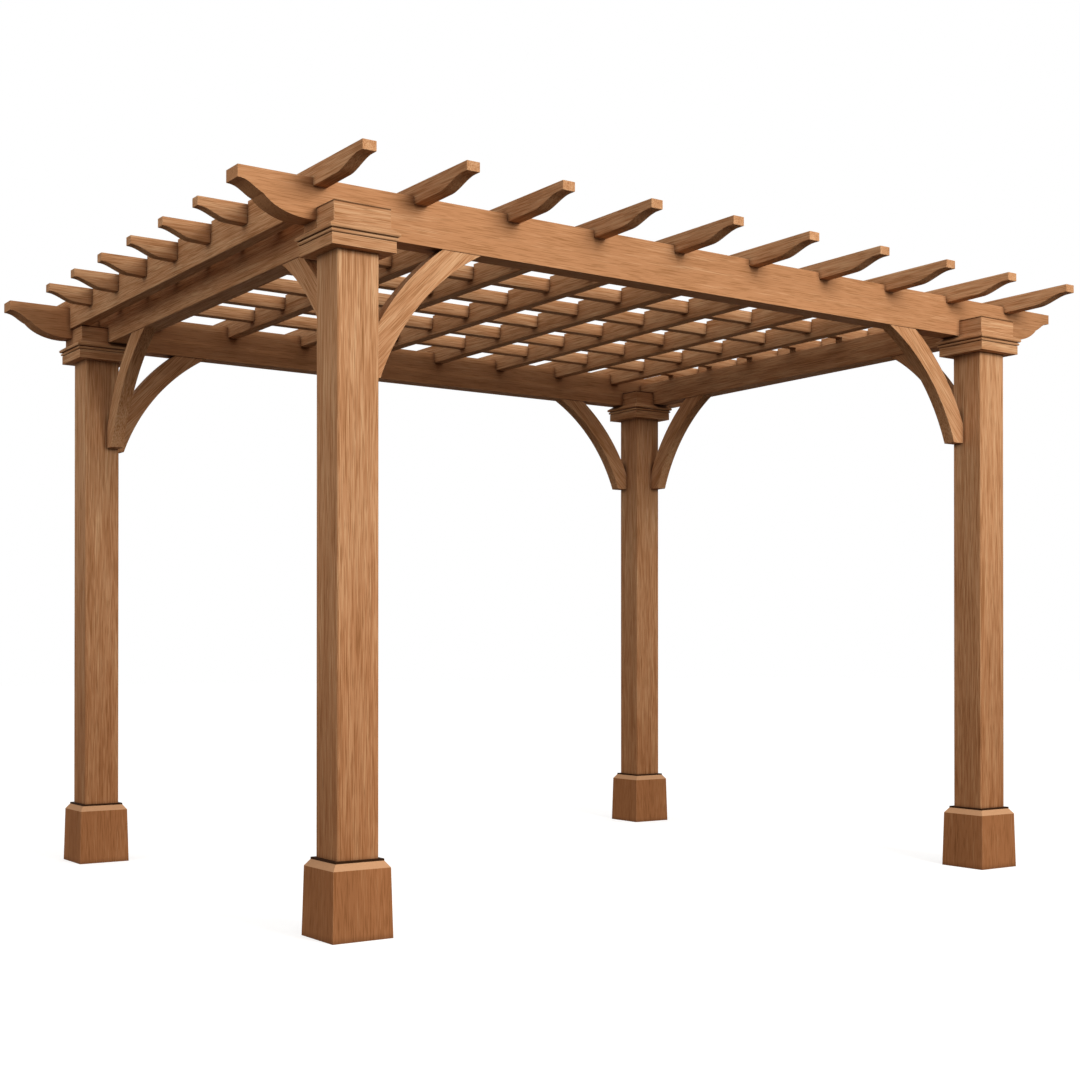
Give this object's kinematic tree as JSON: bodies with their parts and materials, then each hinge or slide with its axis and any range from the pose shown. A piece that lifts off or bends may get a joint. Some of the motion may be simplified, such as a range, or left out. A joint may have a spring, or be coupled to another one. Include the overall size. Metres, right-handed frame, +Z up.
{
  "type": "wooden pergola",
  "caption": "Rectangular open timber pergola with trimmed square posts, curved braces, long beams with scrolled tails and a flat lattice roof of rafters and purlins.",
  "frame": {"origin": "on the ground under the middle of the roof", "axes": "+Z up, +X along the front beam to the right, -Y towards the front"},
  "size_m": [3.956, 3.12, 2.49],
  "materials": {
    "post_timber": "stained softwood, satin",
    "trim_timber": "stained softwood, satin",
    "beam_timber": "stained softwood, satin",
    "brace_timber": "stained softwood, satin",
    "rafter_timber": "stained softwood, satin",
    "purlin_timber": "stained softwood, satin"
  },
  "bodies": {
    "root": {"post_front_left": "post_timber", "post_front_right": "post_timber", "post_back_left": "post_timber", "post_back_right": "post_timber", "base_trim_front_left": "trim_timber", "base_trim_front_right": "trim_timber", "base_trim_back_left": "trim_timber", "base_trim_back_right": "trim_timber", "collar_front_left": "trim_timber", "collar_front_right": "trim_timber", "collar_back_left": "trim_timber", "collar_back_right": "trim_timber", "head_block_front_left": "beam_timber", "head_block_front_right": "beam_timber", "head_block_back_left": "beam_timber", "head_block_back_right": "beam_timber", "long_brace_front_left": "brace_timber", "long_brace_front_right": "brace_timber", "long_brace_back_left": "brace_timber", "long_brace_back_right": "brace_timber", "side_brace_front_left": "brace_timber", "side_brace_front_right": "brace_timber", "side_brace_back_left": "brace_timber", "side_brace_back_right": "brace_timber", "base_strips": "trim_timber", "front_beam": "beam_timber", "back_beam": "beam_timber", "left_side_beam": "beam_timber", "right_side_beam": "beam_timber", "rafter_01": "rafter_timber", "rafter_02": "rafter_timber", "rafter_03": "rafter_timber", "rafter_04": "rafter_timber", "rafter_05": "rafter_timber", "rafter_06": "rafter_timber", "rafter_07": "rafter_timber", "rafter_08": "rafter_timber", "rafter_09": "rafter_timber", "rafter_10": "rafter_timber", "purlin_1": "purlin_timber", "purlin_2": "purlin_timber", "purlin_3": "purlin_timber", "purlin_4": "purlin_timber", "purlin_5": "purlin_timber", "purlin_6": "purlin_timber"}
  },
  "joints": []
}
